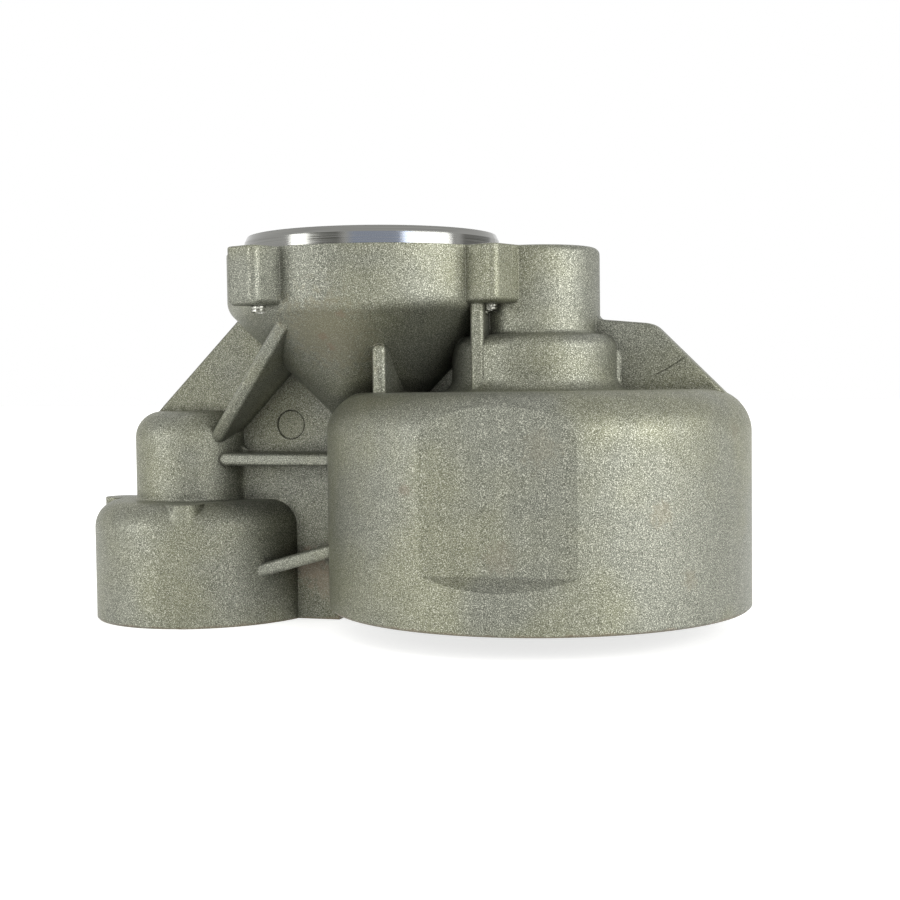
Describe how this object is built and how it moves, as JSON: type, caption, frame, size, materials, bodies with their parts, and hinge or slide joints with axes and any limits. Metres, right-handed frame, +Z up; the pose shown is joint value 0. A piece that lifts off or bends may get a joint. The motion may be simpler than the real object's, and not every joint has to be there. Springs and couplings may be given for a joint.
{
  "type": "die cast housing",
  "caption": "Die cast gear motor housing: large and small open-bottomed cups joined by a ribbed web, with a funnel-shaped motor flange.",
  "frame": {"origin": "on the axis of the large cup's chamber, in the plane of its rim", "axes": "+Z up along the chamber's axis, towards the motor flange; -X towards the small cup; the web lies in the XZ plane"},
  "size_m": [0.198, 0.12, 0.1125],
  "materials": {
    "cast_aluminium": "shot-blasted die cast surface"
  },
  "bodies": {
    "root": {"housing": "cast_aluminium"}
  },
  "joints": []
}
